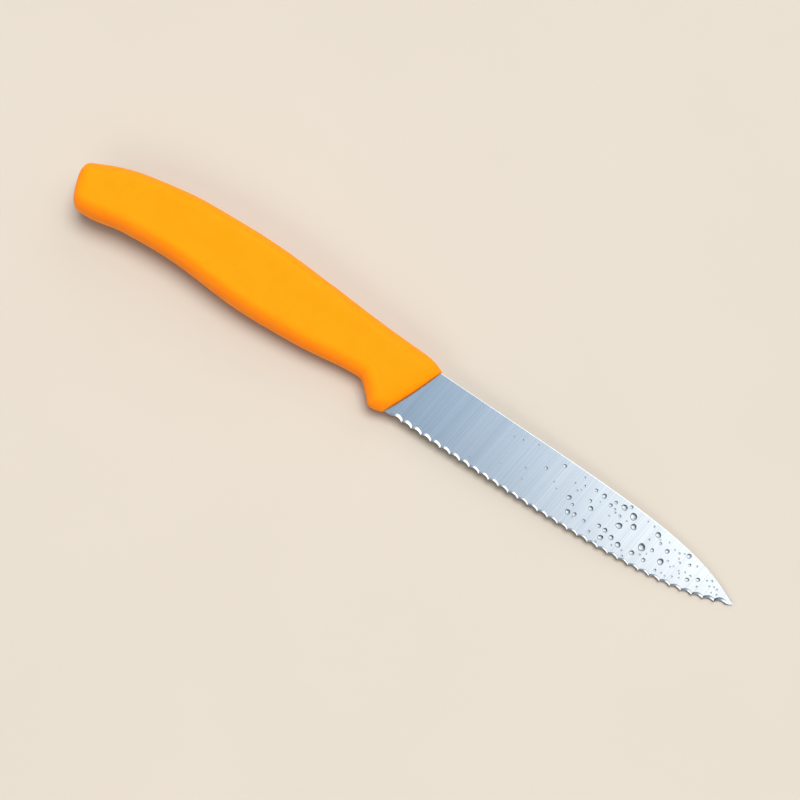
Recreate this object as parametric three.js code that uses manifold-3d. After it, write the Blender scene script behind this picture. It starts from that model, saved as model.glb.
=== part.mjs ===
// Paring knife with a serrated blade and a moulded handle, lying on its side.
//
// The knife is drawn in its own frame: x runs from the handle to the tip, y from
// the edge to the spine, z across the thickness. The origin is where the blade's
// spine leaves the handle. The last section lays the knife on a flat surface.

import * as THREE from 'three';
import { mergeVertices } from 'three/addons/utils/BufferGeometryUtils.js';
import Module from 'manifold-3d';

const wasm = await Module();
wasm.setup();

// Driving dimensions, in millimetres and degrees

// Blade outline
const BLADE_LENGTH = 98.3;
const BLADE_WIDTH = 17;
const TIP_DROP = 7.75;
const SPINE_STRAIGHT = 30;
const SPINE_EASE = 38;
const SPINE_TIP_EASE = 14.8;
const SPINE_TIP_ANGLE = 28;
const EDGE_STRAIGHT = 2;
const EDGE_EASE = 69;
const EDGE_TIP_EASE = 10.2;
const EDGE_TIP_ANGLE = 33;

// Blade thickness: flat ground sides, thinnest at the belly of the edge
const STOCK_THICKNESS = 1.2;
const HEEL_THICKNESS = 0.34;
const BELLY_THICKNESS = 0.2;
const BELLY_AT = 70;
const GRIND_START = 2.5;

// Serrations, ground into the upper side alone
const SCALLOP_PITCH = 3.08;
const SCALLOP_DEPTH = 0.62;
const SCALLOP_ANGLE = 23;
const HEEL_LAND = 2.4;
const TIP_LAND = 1.0;
const EDGE_TRIM = 0.06;
const CUTTER_LENGTH = 12;

// Tang, hidden in the handle: its root lies under named covers of plastic at the neck
const ROOT_DEPTH = 3.2;
const TANG_LENGTH = 76;
const TANG_TOP_COVER = 3.5;
const TANG_BOTTOM_COVER = 2.9;
const TANG_END_WIDTH = 6.5;
const SHOULDER_FILLET = 2;
const HOLE_DIAMETER = 4.5;
const FRONT_HOLE_AT = 30;
const REAR_HOLE_INSET = 18;
const TANG_CLEARANCE = 0.3;

// Handle side view: lengths from one station to the next, from the front to the butt
const GUARD_LENGTH = 3.2;
const NOTCH_LENGTH = 4.8;
const NECK_LENGTH = 5.6;
const FORE_LENGTH = 20.4;
const SWELL_LENGTH = 18;
const WAIST_LENGTH = 22.5;
const FLARE_LENGTH = 16.5;
const HOOK_LENGTH = 11.5;
const BUTT_LENGTH = 5.8;

// Handle heights above the blade's spine
const FRONT_RISE = 1.85;
const NECK_RISE = 2.2;
const FORE_RISE = 3.4;
const SWELL_RISE = 4.15;
const WAIST_RISE = 3.17;
const FLARE_RISE = 0.15;
const BUTT_RISE = -6.7;

// Handle depths: the first two below the blade's edge, the others below its spine
const FRONT_LIP = 1;
const GUARD_LIP = 1.35;
const NOTCH_DROP = 15.9;
const NECK_DROP = 13.17;
const FORE_DROP = 15.48;
const SWELL_DROP = 16.47;
const WAIST_DROP = 15.45;
const FLARE_DROP = 16.5;
const HOOK_DROP = 18.3;
const BUTT_DROP = 18.6;

// Slant of the handle's two ends, and the length over which the sections fan upright
const FRONT_LEAN = 21.8;
const FRONT_FAN = 28;
const FRONT_CROWN = 0.4;
const BUTT_LEAN = 21;
const BUTT_FAN = 28;

// Handle thickness: flat sides that widen from the guard to the swell
const GUARD_THICKNESS = 10;
const SWELL_THICKNESS = 14;
const BUTT_THICKNESS = 12.6;
const FLAT_START = 10.5;
const FLAT_LENGTH = 48;

// Handle rounding
const BELLY_ROUND = 3.6;
const SPINE_ROUND = 4.2;
const CORNER_SHARE = 0.9;
const FRONT_ROUND = 4.4;
const FRONT_SIDE_ROUND = 7;
const FRONT_TOP_ROUND = 6.5;
const FRONT_WALL = 0.9;
const FRONT_COVER = 0.15;
const BUTT_ROUND = 4.6;
const BUTT_TOP_ROUND = 2.6;
const BUTT_BOTTOM_ROUND = 2.6;
const BUTT_FACE_THICKNESS = 4.4;

// Facets and tolerances
const CURVE_STEPS = 28;
const CUTTER_SIDES = 64;
const CORNER_STEPS = 5;
const END_STEPS = 6;
const NECK_STEPS = 12;
const GRIP_STEPS = 24;
const HALVINGS = 40;
const MERGE_DISTANCE = 1e-5;

const { degToRad, lerp, smoothstep } = THREE.MathUtils;

// Values worked out from the driving dimensions

const lean = Math.tan(degToRad(FRONT_LEAN));
const buttLean = Math.tan(degToRad(BUTT_LEAN));

const guardAt = GUARD_LENGTH;
const notchAt = guardAt + NOTCH_LENGTH;
const neckAt = notchAt + NECK_LENGTH;
const foreAt = neckAt + FORE_LENGTH;
const swellAt = foreAt + SWELL_LENGTH;
const waistAt = swellAt + WAIST_LENGTH;
const flareAt = waistAt + FLARE_LENGTH;
const hookAt = flareAt + HOOK_LENGTH;
const handleLength = hookAt + BUTT_LENGTH;

const tangTop = NECK_RISE - TANG_TOP_COVER;
const tangBottom = TANG_BOTTOM_COVER - NECK_DROP;
const tangMiddle = (tangTop + tangBottom) / 2;

const flatBack = FLAT_START + FLAT_LENGTH;
const flatTaper = (SWELL_THICKNESS - GUARD_THICKNESS) / 2 / FLAT_LENGTH;

// Closed mesh to solid and back

function solid(geometry) {
  const bare = geometry.clone();
  bare.deleteAttribute('normal');
  bare.deleteAttribute('uv');
  const merged = mergeVertices(bare, MERGE_DISTANCE);
  const mesh = new wasm.Mesh({
    numProp: 3,
    vertProperties: new Float32Array(merged.attributes.position.array),
    triVerts: new Uint32Array(merged.index.array),
  });
  return new wasm.Manifold(mesh);
}

function geometryOf(manifold) {
  const mesh = manifold.getMesh();
  const geometry = new THREE.BufferGeometry();
  geometry.setAttribute('position', new THREE.BufferAttribute(new Float32Array(mesh.vertProperties), 3));
  geometry.setIndex(new THREE.BufferAttribute(new Uint32Array(mesh.triVerts), 1));
  geometry.computeVertexNormals();
  return geometry;
}

// Blade outline: straight runs beside the handle, then curves that meet at the tip

const tip = new THREE.Vector2(BLADE_LENGTH, -TIP_DROP);
const heel = new THREE.Vector2(-BLADE_WIDTH * lean, -BLADE_WIDTH);

function tipHandle(length, angle) {
  const turn = degToRad(angle);
  return new THREE.Vector2(tip.x - length * Math.cos(turn), tip.y + length * Math.sin(turn));
}

const spineStart = new THREE.Vector2(SPINE_STRAIGHT, 0);
const spineCurve = new THREE.CubicBezierCurve(
  spineStart,
  new THREE.Vector2(SPINE_STRAIGHT + SPINE_EASE, 0),
  tipHandle(SPINE_TIP_EASE, SPINE_TIP_ANGLE),
  tip,
);

const edgeStart = new THREE.Vector2(EDGE_STRAIGHT, -BLADE_WIDTH);
const edgeCurve = new THREE.CubicBezierCurve(
  edgeStart,
  new THREE.Vector2(EDGE_STRAIGHT + EDGE_EASE, -BLADE_WIDTH),
  tipHandle(EDGE_TIP_EASE, -EDGE_TIP_ANGLE),
  tip,
);

const edge = new THREE.CurvePath();
edge.add(new THREE.LineCurve(heel, edgeStart));
edge.add(edgeCurve);

// The point on the edge curve at a given x
function edgePointAt(x) {
  let low = 0;
  let high = 1;
  for (let step = 0; step < HALVINGS; step += 1) {
    const middle = (low + high) / 2;
    if (edgeCurve.getPoint(middle).x < x) low = middle;
    else high = middle;
  }
  return edgeCurve.getPoint(low);
}

// Blanked outline of blade and tang, grown all round by a clearance
function steelOutline(grow) {
  const top = grow;
  const bottom = -BLADE_WIDTH - grow;
  const endRadius = TANG_END_WIDTH / 2 + grow;
  const endX = -TANG_LENGTH + TANG_END_WIDTH / 2;
  const rootBack = (y) => lean * y - ROOT_DEPTH - grow * Math.hypot(1, lean);
  const shoulderTop = tangTop + grow;
  const shoulderBottom = tangBottom - grow;
  const corner = new THREE.Vector2(rootBack(shoulderBottom), shoulderBottom);
  const belowCorner = shoulderBottom - SHOULDER_FILLET;

  const shape = new THREE.Shape();
  shape.moveTo(endX, tangMiddle - endRadius);
  shape.lineTo(corner.x - SHOULDER_FILLET, shoulderBottom);
  shape.quadraticCurveTo(corner.x, corner.y, rootBack(belowCorner), belowCorner);
  shape.lineTo(rootBack(bottom), bottom);
  shape.lineTo(edgeStart.x, bottom);
  shape.bezierCurveTo(edgeCurve.v1.x, bottom, edgeCurve.v2.x, edgeCurve.v2.y, tip.x, tip.y);
  shape.bezierCurveTo(spineCurve.v2.x, spineCurve.v2.y, spineCurve.v1.x, top, spineStart.x, top);
  shape.lineTo(rootBack(top), top);
  shape.lineTo(rootBack(shoulderTop), shoulderTop);
  shape.lineTo(endX, tangMiddle + endRadius);
  shape.absarc(endX, tangMiddle, endRadius, Math.PI / 2, Math.PI * 1.5, false);

  for (const at of [FRONT_HOLE_AT, TANG_LENGTH - REAR_HOLE_INSET]) {
    const hole = new THREE.Path();
    hole.absarc(-at, tangMiddle, HOLE_DIAMETER / 2 - grow, 0, Math.PI * 2, true);
    shape.holes.push(hole);
  }
  return shape;
}

// Upper ground side of the blade: the plane through its thickness at spine, heel and belly
function groundSide() {
  const belly = edgePointAt(BELLY_AT);
  return new THREE.Plane().setFromCoplanarPoints(
    new THREE.Vector3(0, 0, STOCK_THICKNESS / 2),
    new THREE.Vector3(heel.x, heel.y, HEEL_THICKNESS / 2),
    new THREE.Vector3(belly.x, belly.y, BELLY_THICKNESS / 2),
  );
}

// Half the blade's thickness at a point of its outline
function halfThickness(point) {
  const { normal, constant } = groundSide();
  return -(normal.x * point.x + normal.y * point.y + constant) / normal.z;
}

// Flat block whose face is one ground side of the blade; side is +1 above, -1 below
function grindingBlock(side, grow) {
  const outward = groundSide().normal;
  outward.z *= side;
  const alongFront = new THREE.Vector3(lean, 1, 0).normalize();
  const forward = alongFront.cross(outward).multiplyScalar(side).normalize();
  const across = outward.clone().cross(forward);
  const length = BLADE_LENGTH * 2;
  const thickness = STOCK_THICKNESS * 2;
  const centre = new THREE.Vector3(0, 0, (side * STOCK_THICKNESS) / 2)
    .addScaledVector(forward, length / 2 - GRIND_START + grow)
    .addScaledVector(outward, thickness / 2 + grow);

  const block = new THREE.BoxGeometry(length, length, thickness);
  block.applyMatrix4(new THREE.Matrix4().makeBasis(forward, across, outward).setPosition(centre));
  return solid(block);
}

// Blade and tang in one stamping with both sides ground flat
function steel(grow) {
  const thickness = STOCK_THICKNESS + 2 * grow;
  const plate = new THREE.ExtrudeGeometry(steelOutline(grow), {
    depth: thickness,
    bevelEnabled: false,
    curveSegments: CURVE_STEPS,
  });
  plate.translate(0, 0, -thickness / 2);
  return solid(plate).subtract(grindingBlock(1, grow)).subtract(grindingBlock(-1, grow));
}

// One serration: a cylinder laid across the edge, tipped up towards the spine
function scallopCutter(distance) {
  const slope = degToRad(SCALLOP_ANGLE);
  const sag = SCALLOP_DEPTH * Math.sin(slope);
  const radius = (SCALLOP_PITCH * SCALLOP_PITCH / 4 + sag * sag) / (2 * sag);
  const share = distance / edge.getLength();
  const point = edge.getPointAt(share);
  const tangent = edge.getTangentAt(share);

  const along = new THREE.Vector3(tangent.x, tangent.y, 0);
  const inward = new THREE.Vector3(-tangent.y, tangent.x, 0);
  const up = new THREE.Vector3(0, 0, 1);
  const axis = inward.clone().multiplyScalar(Math.cos(slope)).addScaledVector(up, Math.sin(slope));
  const outward = along.clone().cross(axis);

  const lowerFace = new THREE.Vector3(point.x, point.y, -halfThickness(point));
  const centre = lowerFace
    .addScaledVector(inward, SCALLOP_DEPTH + EDGE_TRIM)
    .addScaledVector(outward, radius);
  const cylinder = new THREE.CylinderGeometry(radius, radius, CUTTER_LENGTH, CUTTER_SIDES);
  cylinder.applyMatrix4(new THREE.Matrix4().makeBasis(along, axis, outward).setPosition(centre));
  return solid(cylinder);
}

function blade() {
  const count = Math.floor((edge.getLength() - HEEL_LAND - TIP_LAND) / SCALLOP_PITCH);
  let body = steel(0);
  for (let index = 0; index < count; index += 1) {
    body = body.subtract(scallopCutter(HEEL_LAND + (index + 0.5) * SCALLOP_PITCH));
  }
  return body;
}

// Smooth line through points [place, height]: cubic pieces, level at each high and low point
function smoothLine(points) {
  const last = points.length - 1;
  const grade = (index) => {
    const [from, to] = [points[index], points[index + 1]];
    return (to[1] - from[1]) / (to[0] - from[0]);
  };
  const slopes = points.map((point, index) => {
    const before = grade(Math.max(index - 1, 0));
    const after = grade(Math.min(index, last - 1));
    return before * after > 0 ? (2 * before * after) / (before + after) : 0;
  });
  return (place) => {
    let index = 0;
    while (index < last - 1 && place > points[index + 1][0]) index += 1;
    const [start, from] = points[index];
    const [end, to] = points[index + 1];
    const span = end - start;
    const t = (place - start) / span;
    const ease = t * t * (3 - 2 * t);
    const leave = t * (1 - t) * (1 - t) * slopes[index] * span;
    const arrive = t * t * (t - 1) * slopes[index + 1] * span;
    return lerp(from, to, ease) + leave + arrive;
  };
}

const spineLine = smoothLine([
  [0, FRONT_RISE],
  [neckAt, NECK_RISE],
  [foreAt, FORE_RISE],
  [swellAt, SWELL_RISE],
  [waistAt, WAIST_RISE],
  [flareAt, FLARE_RISE],
  [handleLength, BUTT_RISE],
]);

const bellyLine = smoothLine([
  [0, -BLADE_WIDTH - FRONT_LIP],
  [guardAt, -BLADE_WIDTH - GUARD_LIP],
  [notchAt, -NOTCH_DROP],
  [neckAt, -NECK_DROP],
  [foreAt, -FORE_DROP],
  [swellAt, -SWELL_DROP],
  [waistAt, -WAIST_DROP],
  [flareAt, -FLARE_DROP],
  [hookAt, -HOOK_DROP],
  [handleLength, -BUTT_DROP],
]);

// Quarter ellipse: 1 at the end of the handle, 0 once the rounding is done
function rounding(distance, length) {
  const share = Math.max(0, 1 - distance / length);
  return 1 - Math.sqrt(1 - share * share);
}

// Half thickness of the flat sides at a place along the knife
function flatHalf(x) {
  const past = -x - flatBack;
  if (past < 0) return SWELL_THICKNESS / 2 + past * flatTaper;
  return lerp(SWELL_THICKNESS, BUTT_THICKNESS, past / (handleLength - flatBack)) / 2;
}

// Closed ring of points round the handle, on a plane that fans from the front's lean to the butt's
function handleSection(place) {
  const toButt = handleLength - place;
  const frontTop = Math.max(0, 1 - place / FRONT_TOP_ROUND) ** 2;
  const front = rounding(place, FRONT_ROUND);
  const sideFront = rounding(place, FRONT_SIDE_ROUND);
  const butt = rounding(toButt, BUTT_ROUND);
  const cover = TANG_CLEARANCE + FRONT_COVER;
  const spine = lerp(spineLine(place), cover, frontTop);
  const top = lerp(spine, BUTT_RISE - BUTT_TOP_ROUND, rounding(toButt, BUTT_TOP_ROUND));
  const belly = lerp(bellyLine(place), -BLADE_WIDTH - cover, front);
  const bottom = lerp(belly, BUTT_BOTTOM_ROUND - BUTT_DROP, rounding(toButt, BUTT_BOTTOM_ROUND));
  const frontHalf = STOCK_THICKNESS / 2 + TANG_CLEARANCE + FRONT_WALL;
  const room = (top - bottom) / (BELLY_ROUND + SPINE_ROUND);
  const fit = Math.min(1, room * CORNER_SHARE);

  const middle = -BLADE_WIDTH / 2;
  const fanned = 1 - smoothstep(place, 0, FRONT_FAN);
  const buttFanned = 1 - smoothstep(toButt, 0, BUTT_FAN);
  const fan = lean * fanned - buttLean * buttFanned;

  const profile = [];
  for (let step = 0; step <= CORNER_STEPS; step += 1) {
    const turn = (Math.PI / 2) * (step / CORNER_STEPS);
    profile.push([bottom + BELLY_ROUND * fit * (1 - Math.cos(turn)), Math.sin(turn)]);
  }
  for (let step = CORNER_STEPS; step >= 0; step -= 1) {
    const turn = (Math.PI / 2) * (step / CORNER_STEPS);
    profile.push([top - SPINE_ROUND * fit * (1 - Math.cos(turn)), Math.sin(turn)]);
  }

  const pointOn = (side) => ([y, share]) => {
    const offset = (y - middle) / middle;
    const crown = FRONT_CROWN * fanned * (1 - offset * offset);
    const x = middle * lean - place + fan * (y - middle) + crown;
    const sideHalf = lerp(lerp(flatHalf(x), frontHalf, sideFront), BUTT_FACE_THICKNESS / 2, butt);
    return new THREE.Vector3(x, y, side * sideHalf * share);
  };
  const near = profile.map(pointOn(1));
  const far = profile.slice(1, -1).reverse().map(pointOn(-1));
  return [...near, ...far];
}

// Places from one to another, both included
function spread(from, to, steps) {
  return Array.from({ length: steps + 1 }, (_, step) => lerp(from, to, step / steps));
}

// Closed skin over rings of equal count, with a flat face at each end
function loft(rings) {
  const count = rings[0].length;
  const points = rings.flat();
  const faces = [];
  for (let row = 0; row < rings.length - 1; row += 1) {
    for (let column = 0; column < count; column += 1) {
      const next = (column + 1) % count;
      const a = row * count + column;
      const b = row * count + next;
      faces.push(a, b, a + count, b, b + count, a + count);
    }
  }
  const capEnd = (ring, flip) => {
    const hub = points.length;
    const middle = new THREE.Vector3();
    rings[ring].forEach((point) => middle.addScaledVector(point, 1 / count));
    points.push(middle);
    for (let column = 0; column < count; column += 1) {
      const a = ring * count + column;
      const b = ring * count + ((column + 1) % count);
      if (flip) faces.push(hub, a, b);
      else faces.push(hub, b, a);
    }
  };
  capEnd(0, false);
  capEnd(rings.length - 1, true);
  const geometry = new THREE.BufferGeometry().setFromPoints(points);
  geometry.setIndex(faces);
  return geometry;
}

function handle() {
  const turns = spread(0, Math.PI / 2, END_STEPS);
  const roundEnd = (length) => turns.map((turn) => length * (1 - Math.cos(turn)));
  const places = [
    ...roundEnd(FRONT_ROUND),
    ...spread(FRONT_ROUND, neckAt, NECK_STEPS).slice(1),
    ...spread(neckAt, handleLength - BUTT_ROUND, GRIP_STEPS).slice(1, -1),
    ...roundEnd(BUTT_ROUND).reverse().map((distance) => handleLength - distance),
  ];
  const body = solid(loft(places.map(handleSection)));
  return body.subtract(steel(TANG_CLEARANCE));
}

// Finishes

const groundSteel = new THREE.MeshStandardMaterial({ color: 0xb4c0cc, roughness: 0.32, metalness: 1 });
const orangePlastic = new THREE.MeshStandardMaterial({ color: 0xfdab19, roughness: 0.5, metalness: 0 });

// Assembly, laid on the lower flat of the handle with the origin under the middle of its box

function piece(name, manifold, material) {
  const mesh = new THREE.Mesh(geometryOf(manifold), material);
  mesh.name = name;
  return mesh;
}

const knife = new THREE.Group();
knife.add(piece('blade', blade(), groundSteel));
knife.add(piece('handle', handle(), orangePlastic));
knife.rotation.y = Math.atan(flatTaper);

const paringKnife = new THREE.Group();
paringKnife.add(knife);
paringKnife.updateMatrixWorld(true);
const box = new THREE.Box3().setFromObject(paringKnife, true);
knife.position.set(-(box.min.x + box.max.x) / 2, -(box.min.y + box.max.y) / 2, -box.min.z);

export default paringKnife;
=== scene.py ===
"""Looks of a paring knife: moulded orange handle, brushed serrated blade and drops of water on the blade.

Shapes are worked out in millimetres in the knife's own frame, the one that the solids were drawn in:
x runs from the handle to the tip, y from the edge to the spine, z across the thickness, and the origin
is where the blade's spine leaves the handle. laid() then puts them on the floor, in metres.
"""

import bmesh
import bpy
import numpy as np
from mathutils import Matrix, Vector


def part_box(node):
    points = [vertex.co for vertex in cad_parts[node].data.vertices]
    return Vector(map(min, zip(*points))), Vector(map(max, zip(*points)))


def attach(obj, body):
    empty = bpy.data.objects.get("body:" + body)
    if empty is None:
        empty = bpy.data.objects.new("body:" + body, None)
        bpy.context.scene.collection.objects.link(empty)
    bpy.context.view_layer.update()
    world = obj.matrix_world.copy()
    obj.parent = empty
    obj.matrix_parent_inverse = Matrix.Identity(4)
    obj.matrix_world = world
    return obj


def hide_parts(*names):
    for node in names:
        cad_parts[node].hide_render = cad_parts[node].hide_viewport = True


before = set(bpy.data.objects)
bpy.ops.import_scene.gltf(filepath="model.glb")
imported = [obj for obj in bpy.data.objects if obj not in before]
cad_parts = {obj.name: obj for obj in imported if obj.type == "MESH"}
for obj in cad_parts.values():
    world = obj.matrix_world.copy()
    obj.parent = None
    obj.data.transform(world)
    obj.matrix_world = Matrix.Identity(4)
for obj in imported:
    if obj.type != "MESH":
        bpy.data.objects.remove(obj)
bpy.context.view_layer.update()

MM = 0.001
MERGE_DISTANCE = 1e-7

# Steps of the grids
END_STEPS = 25
NECK_STEPS = 61
GRIP_STEPS = 111
TANG_ROUND_STEPS = 13
TANG_STEPS = 40
ROOT_STEPS = 25
POINT_STEPS = 20
LARGE_DROP_STEPS = (24, 7)
FINE_DROP_STEPS = (9, 3)

# Blade outline and thickness, the same as the solid's
BLADE_LENGTH = 98.3
BLADE_WIDTH = 17.0
TIP_DROP = 7.75
SPINE_STRAIGHT = 30.0
SPINE_EASE = 38.0
SPINE_TIP_EASE = 14.8
SPINE_TIP_ANGLE = np.radians(28.0)
EDGE_STRAIGHT = 2.0
EDGE_EASE = 69.0
EDGE_TIP_EASE = 10.2
EDGE_TIP_ANGLE = np.radians(33.0)
STOCK_THICKNESS = 1.2
HEEL_THICKNESS = 0.34
BELLY_THICKNESS = 0.2
BELLY_AT = 70.0
ROOT_DEPTH = 3.2
SPINE_BREAK = 0.15
BREAK_ANGLE = np.radians(22.0)
BREAK_LIMIT = 0.12
FACET_LIMIT = 0.7
TIP_STOP = 0.03
GRIND_RUNOUT = 1.5
HARD_EDGE = np.radians(14.0)

# Tang, hidden in the handle
TANG_LENGTH = 76.0
TANG_END_WIDTH = 6.5
TANG_TOP = -1.3
TANG_BOTTOM = -10.27
SHOULDER = 2.0

# Serrations
SCALLOP_PITCH = 3.08
SCALLOP_DEPTH = 0.62
SCALLOP_ANGLE = np.radians(23.0)
HEEL_LAND = 2.4
TIP_LAND = 1.0
EDGE_TRIM = 0.06
FACET_BULGE = (0.018, 0.055)

# Handle stations: place behind the front, with the height of the spine side or of the belly there
FRONT_LEAN = np.tan(np.radians(21.8))
FRONT_FAN = 28.0
FRONT_CROWN = 0.4
BUTT_LEAN = np.tan(np.radians(21.0))
BUTT_FAN = 28.0
HANDLE_LENGTH = 108.3
NECK_END = 34.0
SPINE_STATIONS = [(0, 1.85), (13.6, 2.2), (34, 3.4), (52, 4.15), (74.5, 3.17), (91, 0.15), (108.3, -6.7)]
BELLY_STATIONS = [
    (0, -18), (3.2, -18.35), (8, -15.9), (13.6, -13.17), (34, -15.48),
    (52, -16.47), (74.5, -15.45), (91, -16.5), (102.5, -18.3), (108.3, -18.6),
]
GUARD_THICKNESS = 10.0
SWELL_THICKNESS = 14.0
BUTT_THICKNESS = 12.6
FLAT_START = 10.5
FLAT_LENGTH = 48.0
BELLY_ROUND = 3.6
SPINE_ROUND = 4.2
CORNER_SHARE = 0.9
FRONT_ROUND = 4.4
FRONT_SIDE_ROUND = 7.0
FRONT_TOP_ROUND = 6.5
FRONT_HALF = 1.8
FRONT_COVER = 0.45
BUTT_ROUND = 4.6
BUTT_TOP_ROUND = 2.6
BUTT_BOTTOM_ROUND = 2.6
BUTT_FACE_HALF = 2.2

# Camera, at the photograph's angle
LENS_MM = 90.0
SENSOR_MM = 36.0
VIEW_ELEVATION = np.radians(78.7)
VIEW_AZIMUTH = np.radians(34.12)
VIEW_DISTANCE = 533.8
VIEW_CENTRE = (-4.94, -12.19, 0.46)
NEAREST_SEEN = 0.01

FLAT_TAPER = (SWELL_THICKNESS - GUARD_THICKNESS) / 2 / FLAT_LENGTH
LIE_ANGLE = np.arctan(FLAT_TAPER)


def mix(first, second, share):
    """Straight blend: first where share is 0, second where it is 1."""
    return first + (second - first) * share


def smooth(value, low, high):
    """Smooth step: 0 below low, 1 above high, 3t^2 - 2t^3 between."""
    t = np.clip((value - low) / (high - low), 0, 1)
    return t * t * (3 - 2 * t)


def turned(points):
    """Turns points of the knife's frame about y, so that the lower flat of the handle is level."""
    x, y, z = np.moveaxis(np.asarray(points, float), -1, 0)
    c, s = np.cos(LIE_ANGLE), np.sin(LIE_ANGLE)
    return np.stack([x * c + z * s, y, z * c - x * s], -1)


# Meshes from arrays

def skin(name, rings, finishes, finish_of_face=None, sharp=None):
    """One closed piece over grids of rings: neighbours in a ring make a quad with the next ring.

    rings has the shape (..., rings, points round a ring, 3), in metres, and every grid ends in rings that
    shrink to a line or a point. Points that meet are merged, and faces are turned outwards by the sign of
    the volume that they close. finish_of_face picks a finish for each quad, and sharp is the angle from
    which an edge is hard.
    """
    count, around = rings.shape[-3:-1]
    points = rings.reshape(-1, 3)
    first = np.arange(len(points)).reshape(-1, count, around)
    after = np.roll(first, -1, axis=2)
    quads = np.stack([first[:, :-1], after[:, :-1], after[:, 1:], first[:, 1:]], -1).reshape(-1, 4)
    a, b, c, d = (points[quads[:, k]] for k in range(4))
    volume = np.sum(a * np.cross(b, c)) + np.sum(a * np.cross(c, d))
    if volume < 0:
        quads = quads[:, ::-1]
    mesh = bpy.data.meshes.new(name)
    mesh.from_pydata(points.tolist(), [], quads.tolist())
    for finish in finishes:
        mesh.materials.append(finish)
    if finish_of_face is not None:
        mesh.polygons.foreach_set("material_index", finish_of_face.reshape(-1).astype(np.int32))
    mesh.polygons.foreach_set("use_smooth", np.ones(len(quads), bool))
    merged = bmesh.new()
    merged.from_mesh(mesh)
    bmesh.ops.remove_doubles(merged, verts=merged.verts, dist=MERGE_DISTANCE)
    merged.to_mesh(mesh)
    merged.free()
    if sharp is not None:
        mesh.set_sharp_from_angle(angle=sharp)
    mesh.update()
    piece = bpy.data.objects.new(name, mesh)
    bpy.context.scene.collection.objects.link(piece)
    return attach(piece, "root")


def shut_ends(rings, steps=6):
    """Adds rings at both ends that keep x and y and close to the middle plane: z times a falling share."""
    share = np.linspace(1, 0, steps + 1)[1:, None, None]
    flat = np.array([1, 1, 0])
    closing = flat + share * (1 - flat)
    return np.concatenate([(rings[:1] * closing)[::-1], rings, rings[-1:] * closing])


# Handle

def smooth_line(stations, place):
    """Cubic pieces through stations of (place, height).

    They are level at each high and low, and elsewhere have the harmonic mean of the slopes on both sides.
    """
    at, height = np.array(stations, float).T
    grade = np.diff(height) / np.diff(at)
    before, after = np.r_[grade[0], grade], np.r_[grade, grade[-1]]
    same_way = before * after > 0
    total = np.where(same_way, before + after, 1)
    slope = np.where(same_way, 2 * before * after / total, 0)
    index = np.clip(np.searchsorted(at, place) - 1, 0, len(at) - 2)
    span = at[index + 1] - at[index]
    t = (place - at[index]) / span
    eased = mix(height[index], height[index + 1], t * t * (3 - 2 * t))
    return eased + t * (1 - t) ** 2 * slope[index] * span + t * t * (t - 1) * slope[index + 1] * span


def rounding(distance, length):
    """Quarter circle: 1 at the very end, 0 once the distance passes the length of the round."""
    share = np.clip(1 - distance / length, 0, 1)
    return 1 - np.sqrt(1 - share * share)


def flat_half(x):
    """Half the thickness of the flat sides: widening to the swell, then narrowing to the butt."""
    past = -x - FLAT_START - FLAT_LENGTH
    widening = SWELL_THICKNESS / 2 + past * FLAT_TAPER
    narrowing = mix(SWELL_THICKNESS, BUTT_THICKNESS, past / (HANDLE_LENGTH - FLAT_START - FLAT_LENGTH)) / 2
    return np.where(past < 0, widening, narrowing)


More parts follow.
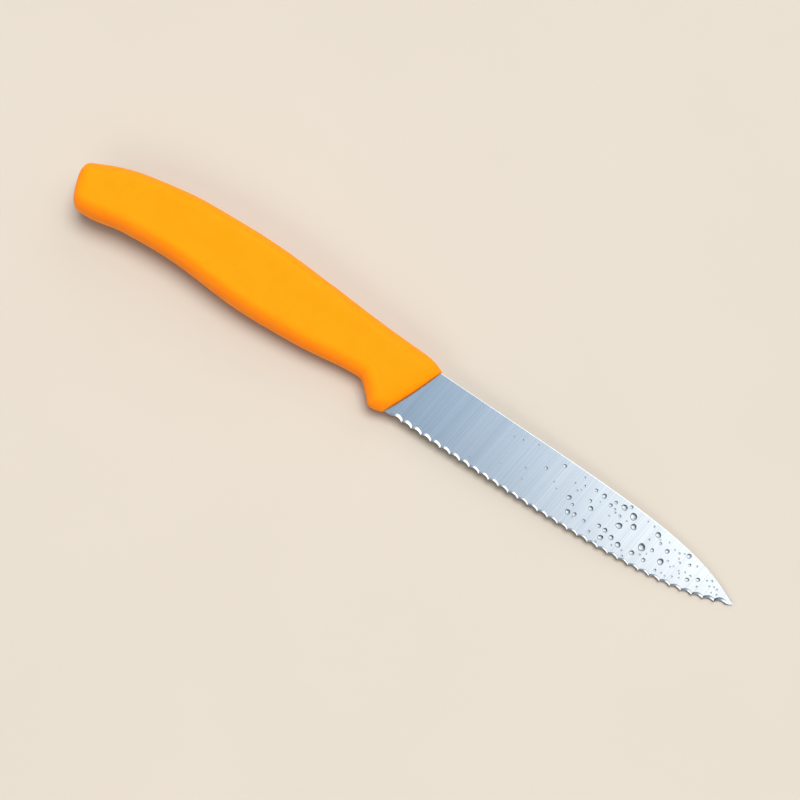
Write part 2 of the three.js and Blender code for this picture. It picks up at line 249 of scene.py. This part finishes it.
def handle_rings(place, corner_steps=18, flat_steps=12):
    """Rings round the handle, one for each place behind its front.

    A ring's height y runs from the belly to the spine side and back. Its two corners are quarter ellipses,
    y = end plus or minus round times (1 - cos turn), with the thickness times sin turn, and the sides between
    are straight. Rings fan from the slant of the front to the slant of the butt: x = -place + fan times the
    height over the middle.
    """
    quarter = np.linspace(0, np.pi / 2, corner_steps + 1)
    full = np.full(flat_steps - 1, np.pi / 2)
    belly_turn = np.r_[quarter, full, np.full(corner_steps + 1, np.pi / 2)]
    rising = np.arange(1, flat_steps) / flat_steps
    up_side = np.r_[np.zeros(corner_steps + 1), rising, np.ones(corner_steps + 1)]
    spine_turn = belly_turn[::-1]
    order = np.r_[np.arange(len(up_side)), np.arange(len(up_side) - 2, 0, -1)]
    side = np.r_[np.ones(len(up_side)), -np.ones(len(up_side) - 2)]
    belly_turn, spine_turn, up_side = belly_turn[order], spine_turn[order], up_side[order]

    place = place[:, None]
    to_butt = HANDLE_LENGTH - place
    front, butt = rounding(place, FRONT_ROUND), rounding(to_butt, BUTT_ROUND)
    front_fall = np.clip(1 - place / FRONT_TOP_ROUND, 0, 1) ** 2
    spine = mix(smooth_line(SPINE_STATIONS, place), FRONT_COVER, front_fall)
    top = mix(spine, SPINE_STATIONS[-1][1] - BUTT_TOP_ROUND, rounding(to_butt, BUTT_TOP_ROUND))
    belly = mix(smooth_line(BELLY_STATIONS, place), -BLADE_WIDTH - FRONT_COVER, front)
    bottom = mix(belly, BELLY_STATIONS[-1][1] + BUTT_BOTTOM_ROUND, rounding(to_butt, BUTT_BOTTOM_ROUND))
    fit = np.minimum(1, CORNER_SHARE * (top - bottom) / (BELLY_ROUND + SPINE_ROUND))
    low = bottom + BELLY_ROUND * fit * (1 - np.cos(belly_turn))
    high = top - SPINE_ROUND * fit * (1 - np.cos(spine_turn))
    y = mix(low, high, up_side)

    middle = -BLADE_WIDTH / 2
    fanned = 1 - smooth(place, 0, FRONT_FAN)
    fan = FRONT_LEAN * fanned - BUTT_LEAN * (1 - smooth(to_butt, 0, BUTT_FAN))
    crown = FRONT_CROWN * fanned * (1 - ((y - middle) / middle) ** 2)
    x = middle * FRONT_LEAN - place + fan * (y - middle) + crown
    side_front = rounding(place, FRONT_SIDE_ROUND)
    half = mix(mix(flat_half(x), FRONT_HALF, side_front), BUTT_FACE_HALF, butt)
    z = side * half * np.sin(belly_turn) * np.sin(spine_turn)
    return np.stack([x, y, z], -1)


def handle_places():
    """Places along the handle: close together where an end is rounded, even between."""
    turn = np.linspace(0, np.pi / 2, END_STEPS)
    front = FRONT_ROUND * (1 - np.cos(turn))
    butt = HANDLE_LENGTH - BUTT_ROUND * (1 - np.cos(turn[::-1]))
    neck = np.linspace(FRONT_ROUND, NECK_END, NECK_STEPS)[1:-1]
    grip = np.linspace(NECK_END, HANDLE_LENGTH - BUTT_ROUND, GRIP_STEPS)[:-1]
    return np.r_[front, neck, grip, butt]


handle_shape = turned(shut_ends(handle_rings(handle_places())))
cad_low = np.array(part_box("handle")[0])
KNIFE_ORIGIN = cad_low / MM - handle_shape.reshape(-1, 3).min(0)


def laid(points):
    """Points of the knife's frame, in millimetres, as the knife lies on the floor, in metres."""
    return (turned(points) + KNIFE_ORIGIN) * MM


# Blade

def bezier(start, leave, arrive, end, count=600):
    """Cubic curve: four points weighted by (1-t)^3, 3t(1-t)^2, 3t^2(1-t) and t^3."""
    t = np.linspace(0, 1, count)[:, None]
    return (1 - t) ** 3 * start + 3 * t * (1 - t) ** 2 * leave + 3 * t * t * (1 - t) * arrive + t ** 3 * end


def walk(line, distance):
    """The points at some distances along a line of points."""
    run = np.r_[0, np.cumsum(np.hypot(*np.diff(line, axis=0).T))]
    return np.stack([np.interp(distance, run, line[:, k]) for k in (0, 1)], -1), run[-1]


TIP = np.array([BLADE_LENGTH, -TIP_DROP])
HEEL = np.array([-BLADE_WIDTH * FRONT_LEAN, -BLADE_WIDTH])
INTO_HANDLE = np.array([ROOT_DEPTH, 0.0])
spine_curve = bezier(
    np.array([SPINE_STRAIGHT, 0.0]),
    np.array([SPINE_STRAIGHT + SPINE_EASE, 0.0]),
    TIP - SPINE_TIP_EASE * np.array([np.cos(SPINE_TIP_ANGLE), -np.sin(SPINE_TIP_ANGLE)]),
    TIP,
)
edge_curve = bezier(
    np.array([EDGE_STRAIGHT, -BLADE_WIDTH]),
    np.array([EDGE_STRAIGHT + EDGE_EASE, -BLADE_WIDTH]),
    TIP - EDGE_TIP_EASE * np.array([np.cos(EDGE_TIP_ANGLE), np.sin(EDGE_TIP_ANGLE)]),
    TIP,
)
spine_line = np.vstack([-INTO_HANDLE, spine_curve])
edge_line = np.vstack([HEEL - INTO_HANDLE, edge_curve])
belly_point = np.array([BELLY_AT, np.interp(BELLY_AT, edge_curve[:, 0], edge_curve[:, 1])])
ground_plane = np.linalg.solve(
    np.array([[1, 0, 0], [1, *HEEL], [1, *belly_point]]),
    np.array([STOCK_THICKNESS, HEEL_THICKNESS, BELLY_THICKNESS]) / 2,
)


def half_thickness(points):
    """Half the steel's thickness: the plane through spine, heel and belly, and whole stock in the tang."""
    x, y = points[..., 0], points[..., 1]
    ground = ground_plane[0] + x * ground_plane[1] + y * ground_plane[2]
    behind_root = y * FRONT_LEAN - ROOT_DEPTH - x
    return mix(ground, STOCK_THICKNESS / 2, smooth(behind_root, 0, GRIND_RUNOUT))


def serration(distance, edge_length):
    """How far a serration reaches in from the edge on the lower side, at distances along the edge.

    Each one is a cylinder laid across the edge and tipped by the scallop angle, so with u from its middle the
    reach is depth + trim - (R - sqrt(R^2 - u^2)) / sin(angle). Below 0 the edge is whole.
    """
    count = np.floor((edge_length - HEEL_LAND - TIP_LAND) / SCALLOP_PITCH)
    nearest = np.clip(np.floor((distance - HEEL_LAND) / SCALLOP_PITCH), 0, count - 1)
    u = distance - HEEL_LAND - (nearest + 0.5) * SCALLOP_PITCH
    sag = SCALLOP_DEPTH * np.sin(SCALLOP_ANGLE)
    radius = (SCALLOP_PITCH ** 2 / 4 + sag ** 2) / (2 * sag)
    hollow = radius - np.sqrt(np.clip(radius ** 2 - u ** 2, 0, None))
    return SCALLOP_DEPTH + EDGE_TRIM - hollow / np.sin(SCALLOP_ANGLE)


def tang_lines():
    """Lower and upper lines of the tang, from its round end to the blade's root.

    Behind the root, the tang tapers straight from its neck to its end, the end is half a circle, and the
    shoulder flares to the blade's width by a quarter circle. The lines lean as the root does and then stand
    upright.
    """
    length = TANG_LENGTH - ROOT_DEPTH
    radius = TANG_END_WIDTH / 2
    turn = np.linspace(0, np.pi / 2, TANG_ROUND_STEPS)
    straight = np.linspace(length - radius, SHOULDER, TANG_STEPS)[1:-1]
    behind = np.r_[length - radius * (1 - np.cos(turn)), straight, SHOULDER * (1 - np.sin(turn))]
    end = np.sqrt(np.clip(1 - np.clip((behind - length + radius) / radius, 0, 1) ** 2, 0, 1))
    flare = rounding(behind, SHOULDER)
    taper = behind / length
    middle = (TANG_TOP + TANG_BOTTOM) / 2
    low = mix(middle + (mix(TANG_BOTTOM, middle - radius, taper) - middle) * end, -BLADE_WIDTH, flare)
    high = mix(middle + (mix(TANG_TOP, middle + radius, taper) - middle) * end, 0, flare)
    lean = FRONT_LEAN * (1 - smooth(behind, 0, length / 2))
    back = -ROOT_DEPTH - behind
    return np.stack([back + lean * low, low], -1), np.stack([back + lean * high, high], -1)


def blade_columns(edge_length, steps=18):
    """Distances along the edge from the heel: even steps in each serration, with its ends among them."""
    count = int((edge_length - HEEL_LAND - TIP_LAND) / SCALLOP_PITCH)
    teeth = HEEL_LAND + SCALLOP_PITCH * np.arange(count * steps + 1) / steps
    root = np.linspace(-ROOT_DEPTH, HEEL_LAND, ROOT_STEPS)[1:-1]
    point = np.linspace(teeth[-1], edge_length - TIP_STOP, POINT_STEPS)[1:]
    return np.r_[root, teeth, point]


def blade_rings(facet_steps=6, side_steps=28):
    """Rings round tang and blade, from the tang's end to the tip, and which quads are ground facets.

    A ring starts at the lower edge, climbs the ground facet at the scallop angle with a slight bulge, a share
    of the facet's width times 4t(1 - t), runs up the upper side to the spine, goes over the spine's two
    broken corners and comes back down the lower side. Both sides lie in the ground planes.
    """
    edge_length = walk(edge_line, 0)[1] - ROOT_DEPTH
    spine_length = walk(spine_line, 0)[1] - ROOT_DEPTH
    distance = blade_columns(edge_length)
    tang_low, tang_high = tang_lines()
    share = np.where(distance < 0, distance, distance * spine_length / edge_length)
    edge = np.vstack([tang_low, walk(edge_line, distance + ROOT_DEPTH)[0]])
    spine = np.vstack([tang_high, walk(spine_line, share + ROOT_DEPTH)[0]])
    reach = np.r_[np.full(len(tang_low), -BLADE_WIDTH), serration(distance, edge_length)]
    run = np.gradient(edge, axis=0)
    inward = np.stack([-run[:, 1], run[:, 0]], -1) / np.hypot(*run.T)[:, None]
    across = spine - edge
    width = np.maximum(np.hypot(*across.T), TIP_STOP)

    half = half_thickness(edge)
    lower = np.clip(reach, 0, width / 2)
    wall_top = np.minimum(half, (lower - reach) * np.tan(SCALLOP_ANGLE) - half)
    upper = np.clip(reach + 2 * half / np.tan(SCALLOP_ANGLE), lower, width * FACET_LIMIT)
    lower_point = edge + inward * lower[:, None]
    upper_point = edge + inward * upper[:, None]

    broken = np.minimum(SPINE_BREAK, width * BREAK_LIMIT)[:, None]
    shoulder = spine - across / width[:, None] * broken

    facet_low = np.c_[lower_point, wall_top][:, None]
    facet_high = np.c_[upper_point, half_thickness(upper_point)][:, None]
    climb = np.linspace(0, 1, facet_steps + 1)
    facet = mix(facet_low, facet_high, climb[None, :, None])
    bulge = mix(*FACET_BULGE, np.r_[np.zeros(len(tang_low)), distance / edge_length])
    facet[..., 2] += (bulge * (upper - lower))[:, None] * 4 * climb * (1 - climb)
    along = np.linspace(0, 1, side_steps + 1)[None, :, None]
    up = mix(upper_point[:, None], shoulder[:, None], along[:, 1:])
    up = np.concatenate([up, half_thickness(up)[..., None]], -1)
    back_half = half_thickness(shoulder)[:, None] - broken * np.tan(BREAK_ANGLE)
    back = np.stack([np.c_[spine, back_half], np.c_[spine, -back_half]], 1)
    down = mix(shoulder[:, None], lower_point[:, None], along)
    down = np.concatenate([down, -half_thickness(down)[..., None]], -1)
    rings = shut_ends(np.concatenate([facet, up, back, down], 1), 1)
    ground = np.zeros((len(rings) - 1, rings.shape[1]), int)
    ground[:, :facet_steps] = 1
    return rings, ground


# Drops of water: place on the blade and width

LARGE_DROPS = np.array([
    (70.0, -8.7, 2.1), (63.8, -3.1, 2.0), (61.9, -7.3, 1.8), (76.2, -9.1, 1.8), (60.5, -2.4, 1.7),
    (65.3, -5.4, 1.7), (71.9, -3.5, 1.6), (59.5, -12.7, 1.5), (48.6, -11.9, 1.5), (81.7, -3.6, 1.4),
    (68.6, -11.4, 1.4), (54.4, -2.9, 1.4), (53.2, -7.7, 1.4), (61.9, -11.1, 1.4), (46.8, -8.5, 1.4),
    (76.2, -5.8, 1.3), (59.5, -10.4, 1.3), (57.5, -10.3, 1.2), (72.2, -11.3, 1.2), (87.0, -7.5, 1.2),
    (84.6, -9.1, 1.2), (41.3, -2.1, 1.1), (50.5, -11.4, 1.1), (57.1, -4.0, 1.1), (72.7, -7.8, 1.1),
    (57.9, -2.6, 1.0), (52.0, -6.1, 1.0), (53.5, -11.5, 1.0), (51.8, -2.8, 1.0), (62.0, -1.3, 1.0),
    (60.7, -5.1, 0.9), (48.6, -9.6, 0.9), (73.6, -5.1, 0.9), (83.1, -5.5, 0.9), (37.5, -5.4, 0.9),
    (56.1, -13.1, 0.8), (76.2, -11.8, 0.8), (64.4, -11.7, 1.6),
])
SMALL_DROPS = np.array([
    (18.9, -14.5, 0.60), (25.7, -3.2, 0.45), (26.5, -11.4, 0.45), (28.2, -2.6, 0.55), (32.4, -1.4, 0.55),
    (32.9, -8.5, 0.65), (33.6, -11.5, 0.50), (41.2, -7.2, 0.50), (42.6, -8.5, 0.50), (47.4, -1.7, 0.60),
    (48.3, -5.0, 0.50), (48.6, -3.6, 0.70), (50.2, -12.4, 0.55), (66.9, -13.6, 0.70),
    (67.7, -2.0, 0.50), (75.4, -3.5, 0.55), (79.1, -11.7, 0.55), (79.8, -5.7, 0.60), (80.8, -10.7, 0.60),
    (83.1, -7.8, 0.55), (89.1, -6.4, 0.60), (90.4, -7.3, 0.55), (93.2, -8.1, 0.60), (59.0, -14.4, 0.70),
    (63.0, -12.8, 0.50), (77.9, -11.5, 0.50), (79.0, -8.8, 0.50),
])
FINE_DROPS = 45
FINE_SEED = 21
FINE_SIZES = (0.45, 0.75)
FINE_FROM = 46.0
FINE_CROWDING = 0.8
TIP_MARGIN = 5.0
EDGE_MARGIN = 2.2
SPINE_MARGIN = 1.0
TOUCHING = 0.62
LARGE_CONTACT = np.radians(45.0)
FINE_CONTACT = np.radians(55.0)
DROP_FLATTENED = 0.66
DROP_SUNK = 0.03
DROP_WAVES = (0.06, 0.035)
WAVE_SEED = 8


def drop_places():
    """Centres and widths of all the drops: large, then small, then fine ones drawn at random.

    A fine drop's x follows a power of an even draw, so that they stand closer towards the tip. They keep
    clear of the edge and the spine, and one that would touch an earlier drop is left out.
    """
    draw = np.random.default_rng(FINE_SEED)
    x = mix(FINE_FROM, BLADE_LENGTH - TIP_MARGIN, draw.uniform(0, 1, FINE_DROPS) ** FINE_CROWDING)
    low = np.interp(x, edge_curve[:, 0], edge_curve[:, 1]) + EDGE_MARGIN
    high = np.interp(x, spine_curve[:, 0], spine_curve[:, 1]) - SPINE_MARGIN
    y = mix(low, high, draw.uniform(0, 1, FINE_DROPS))
    width = draw.uniform(*FINE_SIZES, FINE_DROPS)
    drops = np.vstack([LARGE_DROPS, SMALL_DROPS, np.stack([x, y, width], -1)])
    gap = np.hypot(*(drops[:, None, :2] - drops[None, :, :2]).transpose(2, 0, 1))
    touching = gap < (drops[:, None, 2] + drops[None, :, 2]) * TOUCHING
    earlier = np.tril(touching, -1).any(1)
    return drops[~earlier]


def drop_rings(drops, contact, around, levels):
    """Grids of rings over drops on the upper side of the blade, from the middle of the base to the top.

    With the angle a falling from the contact angle to 0, radius = (sin a / sin contact) ^ flattened and
    height = (cos a - cos contact) / sin contact, times half the width: a round cap with its top flattened and
    its rim steeper. Two waves round the rim press each drop a little out of round.
    """
    draw = np.random.default_rng(WAVE_SEED)
    angle = np.linspace(contact, 0, levels + 1)
    radius = np.r_[0, (np.sin(angle) / np.sin(contact)) ** DROP_FLATTENED]
    height = np.r_[0, (np.cos(angle) - np.cos(contact)) / np.sin(contact)]
    turn = np.arange(around) / around * 2 * np.pi
    phase = draw.uniform(0, 2 * np.pi, (len(drops), 2, 1))
    oval = DROP_WAVES[0] * np.cos(2 * turn + phase[:, 0])
    three_sided = DROP_WAVES[1] * np.cos(3 * turn + phase[:, 1])
    waves = 1 + oval + three_sided
    half = drops[:, 2, None, None] / 2
    out = half * radius[None, :, None] * waves[:, None, :]
    x = drops[:, 0, None, None] + out * np.cos(turn)
    y = drops[:, 1, None, None] + out * np.sin(turn)
    foot = half_thickness(np.stack([x, y], -1)) - DROP_SUNK
    return np.stack([x, y, foot + half * height[None, :, None]], -1)


# Finishes

# Sockets of the Mix node that belong to colours, by number because their names repeat
MIX_SHARE = 0
MIX_FIRST = 6
MIX_SECOND = 7
MIX_COLOUR = 2


class Value:
    """A socket that can stand in sums: each operator adds one Math node to the finish it belongs to."""

    def __init__(self, finish, socket):
        self.finish = finish
        self.socket = socket

    def math(self, operation, first, second):
        return self.finish.node("ShaderNodeMath", {"operation": operation}, {0: first, 1: second})

    def __add__(self, other):
        return self.math("ADD", self, other)

    def __sub__(self, other):
        return self.math("SUBTRACT", self, other)

    def __rsub__(self, other):
        return self.math("SUBTRACT", other, self)

    def __mul__(self, other):
        return self.math("MULTIPLY", self, other)

    def __pow__(self, other):
        return self.math("POWER", self, other)

    __radd__ = __add__
    __rmul__ = __mul__


class Finish:
    """A node tree under construction. node() adds any node, and what it gives can be summed or fed on."""

    def __init__(self, tree):
        self.tree = tree
        self.tree.nodes.clear()

    def node(self, kind, settings, sockets, output=0):
        """Adds a node, sets its settings first, then the values or links of its sockets."""
        made = self.tree.nodes.new(kind)
        for name, setting in settings.items():
            if name == "stops":
                self.set_stops(made.color_ramp, setting)
            else:
                setattr(made, name, setting)
        for key, value in sockets.items():
            if isinstance(value, Value):
                self.tree.links.new(value.socket, made.inputs[key])
            else:
                made.inputs[key].default_value = value
        return Value(self, made.outputs[output]) if made.outputs else None

    def set_stops(self, ramp, stops):
        """Gives a ramp its stops, each (position, grey)."""
        while len(ramp.elements) < len(stops):
            ramp.elements.new(1)
        for element, (position, grey) in zip(ramp.elements, stops):
            element.position = position
            element.color = (grey, grey, grey, 1)

    def blend(self, share, first, second, how="MIX"):
        """Colour: first where share is 0, second where it is 1."""
        settings = {"data_type": "RGBA", "blend_type": how, "clamp_factor": False}
        sockets = {MIX_SHARE: share, MIX_FIRST: first, MIX_SECOND: second}
        return self.node("ShaderNodeMix", settings, sockets, MIX_COLOUR)

    def noise(self, cell, detail=2.0, turn=0.0, roughness=0.5):
        """Noise on the piece's own coordinates. cell is the grain's size in millimetres along x, y and z."""
        place = self.node("ShaderNodeTexCoord", {}, {}, "Object")
        scale = tuple(size * MM for size in cell)
        mapped = {"Vector": place, "Rotation": (0, 0, turn), "Scale": scale}
        grid = self.node("ShaderNodeMapping", {"vector_type": "TEXTURE"}, mapped)
        settings = {"noise_dimensions": "3D"}
        return self.node("ShaderNodeTexNoise", settings,
                         {"Vector": grid, "Scale": 1.0, "Detail": detail, "Roughness": roughness})

    def ramp(self, value, *stops):
        """A value carried through a ramp of greys."""
        return self.node("ShaderNodeValToRGB", {"stops": stops}, {0: value})

    def bump(self, height, depth):
        """Surface relief: height from 0 to 1, depth in millimetres."""
        return self.node("ShaderNodeBump", {}, {"Height": height, "Distance": depth * MM, "Strength": 1.0})

    def surface(self, sockets):
        """The surface shader with its sockets, joined to the material's output."""
        shader = self.node("ShaderNodeBsdfPrincipled", {}, sockets)
        self.node("ShaderNodeOutputMaterial", {}, {0: shader})


def material(name):
    """A new material and the finish that fills its node tree."""
    made = bpy.data.materials.new(name)
    made.use_nodes = True
    return made, Finish(made.node_tree)


ORANGE = (0.98, 0.248, 0.003, 1)
ORANGE_PALE = (0.99, 0.272, 0.004, 1)
ORANGE_DEEP = (0.94, 0.217, 0.002, 1)
PLASTIC_IOR = 1.49
PLASTIC_SHINE = 0.08
PLASTIC_SCATTER = (1.0, 0.35, 0.08)
PLASTIC_SCATTER_DEPTH = 2.5
GRAIN_DEPTH = 0.022


def orange_plastic():
    """Moulded plastic: satin orange with a fine grain, faint flow clouds, tiny specks and a few soft rubs."""
    made, finish = material("orange_plastic")
    clouds = finish.noise((26, 9, 9), 3)
    grain = finish.noise((0.24, 0.24, 0.24), 2)
    pebble = finish.noise((0.75, 0.75, 0.75), 2)
    rubs = finish.noise((16, 0.35, 6), 3, 0.06)
    specks = finish.ramp(finish.noise((0.6, 0.6, 0.6), 1), (0.69, 0), (0.74, 1))
    rubbed = finish.ramp(rubs, (0.62, 0), (0.72, 1))
    colour = finish.blend(clouds, ORANGE_DEEP, ORANGE_PALE)
    colour = finish.blend(0.55, colour, ORANGE)
    colour = finish.blend(specks * 0.16, colour, ORANGE_DEEP)
    colour = finish.blend(rubbed * 0.12, colour, ORANGE_PALE)
    finish.surface({
        "Base Color": colour,
        "Roughness": 0.43 + clouds * 0.06 + grain * 0.1 - rubbed * 0.06,
        "Normal": finish.bump(grain * 0.65 + pebble * 0.35, GRAIN_DEPTH),
        "IOR": PLASTIC_IOR,
        "Specular IOR Level": PLASTIC_SHINE,
        "Subsurface Weight": 0.5,
        "Subsurface Radius": PLASTIC_SCATTER,
        "Subsurface Scale": PLASTIC_SCATTER_DEPTH * MM,
    })
    return made


STEEL = (0.59, 0.62, 0.655, 1)
STEEL_PALE = (0.71, 0.735, 0.76, 1)
STEEL_DARK = (0.46, 0.495, 0.54, 1)
BRUSH_LEAN = np.radians(-7.0)
BRUSH_DEPTH = 0.0011
WHEEL_DEPTH = 0.0012


def brushed_steel():
    """Blade sides: brush lines of three widths that run from spine to edge, with a cloudy shine between."""
    made, finish = material("brushed_steel")
    hair = finish.noise((0.12, 240, 240), 3, BRUSH_LEAN, 0.65)
    line = finish.noise((0.36, 400, 240), 3, BRUSH_LEAN, 0.65)
    band = finish.noise((2.6, 600, 240), 2, BRUSH_LEAN)
    clouds = finish.noise((14, 8, 60), 3)
    brush = hair * 0.45 + line * 0.35 + band * 0.2
    scratch = finish.ramp(line, (0.58, 0), (0.7, 1))
    colour = finish.blend(finish.ramp(brush, (0.40, 0), (0.60, 1)), STEEL_DARK, STEEL_PALE)
    colour = finish.blend(0.25, colour, STEEL)
    colour = finish.blend(scratch * 0.3, colour, STEEL_PALE)
    finish.surface({
        "Base Color": colour,
        "Metallic": 1.0,
        "Roughness": 0.1 + brush * 0.08 + clouds * 0.04,
        "Normal": finish.bump(hair * 0.7 + line * 0.3, BRUSH_DEPTH),
    })
    return made


def ground_steel():
    """Serration facets: brighter steel with very fine wheel marks that run in from the edge."""
    made, finish = material("ground_facet_steel")
    wheel = finish.noise((0.05, 2.5, 2.5), 2)
    clouds = finish.noise((1.6, 1.6, 1.6), 2)
    colour = finish.blend(finish.ramp(wheel, (0.3, 0), (0.7, 1)), STEEL, STEEL_PALE)
    finish.surface({
        "Base Color": colour,
        "Metallic": 1.0,
        "Roughness": 0.13 + wheel * 0.06 + clouds * 0.05,
        "Normal": finish.bump(wheel, WHEEL_DEPTH),
    })
    return made


WATER_IOR = 1.333


def clear_water():
    """Water: clear, smooth, and very slightly hazed in places where the drop has picked up dust."""
    made, finish = material("clear_water")
    haze = finish.ramp(finish.noise((0.5, 0.5, 0.5), 2), (0.55, 0), (0.8, 1))
    finish.surface({
        "Base Color": (1, 1, 1, 1),
        "Roughness": haze * 0.03,
        "IOR": WATER_IOR,
        "Transmission Weight": 1.0,
    })
    return made


# Pieces

handle = skin("handle_moulding", (handle_shape + KNIFE_ORIGIN) * MM, [orange_plastic()])
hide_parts("handle")

steel_rings, steel_facets = blade_rings()
blade = skin("serrated_blade", laid(steel_rings), [brushed_steel(), ground_steel()], steel_facets, HARD_EDGE)
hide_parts("blade")

all_drops = drop_places()
is_large = all_drops[:, 2] > FINE_SIZES[1]
water = clear_water()
skin("water_drops", laid(drop_rings(all_drops[is_large], LARGE_CONTACT, *LARGE_DROP_STEPS)), [water])
skin("fine_water_drops", laid(drop_rings(all_drops[~is_large], FINE_CONTACT, *FINE_DROP_STEPS)), [water])


# Floor, light and camera

def floor():
    """A pale floor: a wide square sheet with a faint warm mottle."""
    made, finish = material("pale_floor")
    mottle = finish.noise((FLOOR_CELL, FLOOR_CELL, FLOOR_CELL), 3)
    finish.surface({
        "Base Color": finish.blend(mottle, FLOOR_DARK, FLOOR_PALE),
        "Roughness": FLOOR_ROUGHNESS,
    })
    side = np.linspace(-FLOOR_HALF, FLOOR_HALF, 2)
    x, y = np.meshgrid(side, side)
    corners = np.stack([x, y, np.full_like(x, FLOOR_DROP)], -1).reshape(-1, 3)
    mesh = bpy.data.meshes.new("floor")
    mesh.from_pydata(corners.tolist(), [], [(0, 1, 3, 2)])
    mesh.materials.append(made)
    sheet = bpy.data.objects.new("floor", mesh)
    bpy.context.scene.collection.objects.link(sheet)


def room_light():
    """Soft light from all round, in broad lobes: colour times ((1 + cos of the angle off) / 2) ^ tightness.

    The lobes overhead stop at a dark card that stands on the edge's side of the knife, and the others don't.
    """
    world = bpy.data.worlds.new("studio")
    bpy.context.scene.world = world
    world.use_nodes = True
    finish = Finish(world.node_tree)
    toward = finish.node("ShaderNodeTexCoord", {}, {}, "Generated")

    def share_toward(direction):
        aim = Vector(direction).normalized()
        settings = {"operation": "DOT_PRODUCT"}
        cosine = finish.node("ShaderNodeVectorMath", settings, {0: toward, 1: aim}, "Value")
        return cosine * 0.5 + 0.5

    light = (0, 0, 0, 1)
    for direction, tightness, colour in OVERHEAD_LOBES:
        light = finish.blend(share_toward(direction) ** tightness, light, colour, "ADD")
    card = finish.ramp(share_toward((0, 1, 0)), (CARD_EDGE[0], 0), (CARD_EDGE[1], 1))
    light = finish.blend(1.0, light, card, "MULTIPLY")
    light = finish.blend(1.0, light, ROOM_COLOUR, "ADD")
    for direction, tightness, colour in ROOM_LOBES:
        light = finish.blend(share_toward(direction) ** tightness, light, colour, "ADD")
    seen = finish.node("ShaderNodeLightPath", {}, {}, "Is Camera Ray")
    shown = finish.blend(seen, light, BACKDROP)
    sky = finish.node("ShaderNodeBackground", {}, {"Color": shown, "Strength": 1.0})
    finish.node("ShaderNodeOutputWorld", {}, {0: sky})


def soft_lamp(name, direction, spread, strength, colour):
    """A large soft lamp far away, which lights the whole floor alike and isn't seen in reflections."""
    lamp = bpy.data.lights.new(name, "SUN")
    lamp.angle = spread
    lamp.energy = strength
    lamp.color = colour
    hung = bpy.data.objects.new(name, lamp)
    hung.rotation_mode = "QUATERNION"
    hung.rotation_quaternion = Vector(direction).to_track_quat("Z", "Y")
    hung.visible_glossy = False
    hung.visible_transmission = False
    bpy.context.scene.collection.objects.link(hung)


def photograph_camera():
    """The camera, with no roll: back from the centre of view by its distance, along azimuth and elevation."""
    level = np.cos(VIEW_ELEVATION)
    back = Vector((np.sin(VIEW_AZIMUTH) * level, -np.cos(VIEW_AZIMUTH) * level, np.sin(VIEW_ELEVATION)))
    lens = bpy.data.cameras.new("camera")
    lens.lens = LENS_MM
    lens.sensor_width = SENSOR_MM
    lens.clip_start = NEAREST_SEEN
    camera = bpy.data.objects.new("camera", lens)
    camera.location = Vector((KNIFE_ORIGIN + VIEW_CENTRE) * MM) + back * VIEW_DISTANCE * MM
    camera.rotation_mode = "QUATERNION"
    camera.rotation_quaternion = back.to_track_quat("Z", "Y")
    bpy.context.scene.collection.objects.link(camera)
    bpy.context.scene.camera = camera


# Floor: sizes in metres, its mottle in millimetres, and colours
FLOOR_HALF = 4.0
FLOOR_DROP = -0.0002
FLOOR_CELL = 60.0
FLOOR_DARK = (0.445, 0.40, 0.343, 1)
FLOOR_PALE = (0.472, 0.425, 0.364, 1)
FLOOR_ROUGHNESS = 0.62

# Room: colours of the backdrop and the shade, the card's edge, and lobes of direction, tightness and colour
BACKDROP = (0.78, 0.74, 0.68, 1)
ROOM_COLOUR = (0.012, 0.012, 0.012, 1)
CARD_EDGE = (0.43, 0.49)
OVERHEAD_LOBES = [
    ((0.02, 0.15, 0.99), 160.0, (0.11, 0.275, 0.455, 1)),
    ((0.149, 0.15, 0.978), 400.0, (1.66, 1.56, 1.41, 1)),
    ((0.34, 0.30, 0.89), 90.0, (1.4, 1.4, 1.35, 1)),
    ((0.48, 0.34, 0.81), 60.0, (1.7, 1.7, 1.62, 1)),
    ((-0.36, 0.22, 0.90), 40.0, (0.50, 0.60, 0.70, 1)),
    ((-0.10, 0.46, 0.88), 70.0, (0.90, 1.0, 1.1, 1)),
    ((0.10, 0.78, 0.62), 60.0, (2.3, 2.3, 2.3, 1)),
    ((-0.64, 0.64, 0.42), 30.0, (0.5, 0.5, 0.5, 1)),
]
ROOM_LOBES = [
    ((-0.56, -0.58, 0.60), 140.0, (2.2, 2.2, 2.2, 1)),
    ((-0.33, -0.66, 0.67), 140.0, (2.2, 2.2, 2.2, 1)),
    ((-0.10, -0.69, 0.71), 140.0, (2.2, 2.2, 2.2, 1)),
    ((0.10, -0.69, 0.71), 140.0, (2.2, 2.2, 2.2, 1)),
    ((0.42, -0.52, 0.74), 50.0, (0.36, 0.45, 0.55, 1)),
    ((0.68, -0.68, 0.26), 30.0, (0.4, 0.4, 0.4, 1)),
    ((-0.97, 0.00, 0.25), 20.0, (0.35, 0.35, 0.35, 1)),
    ((0.00, 0.90, 0.40), 10.0, (0.3, 0.3, 0.3, 1)),
    ((0.00, 0.00, -1.00), 2.0, (0.7, 0.7, 0.7, 1)),
]

# Lamps: direction, spread, strength and colour
KEY_LAMP = ((0.05, 0.19, 0.98), np.radians(33.0), 3.52, (1.0, 1.0, 1.0))
FILL_LAMP = ((0.25, -0.80, 0.55), np.radians(60.0), 0.44, (1.0, 0.72, 0.42))

floor()
room_light()
soft_lamp("key_lamp", *KEY_LAMP)
soft_lamp("fill_lamp", *FILL_LAMP)
photograph_camera()
bpy.context.scene.view_settings.view_transform = "Standard"
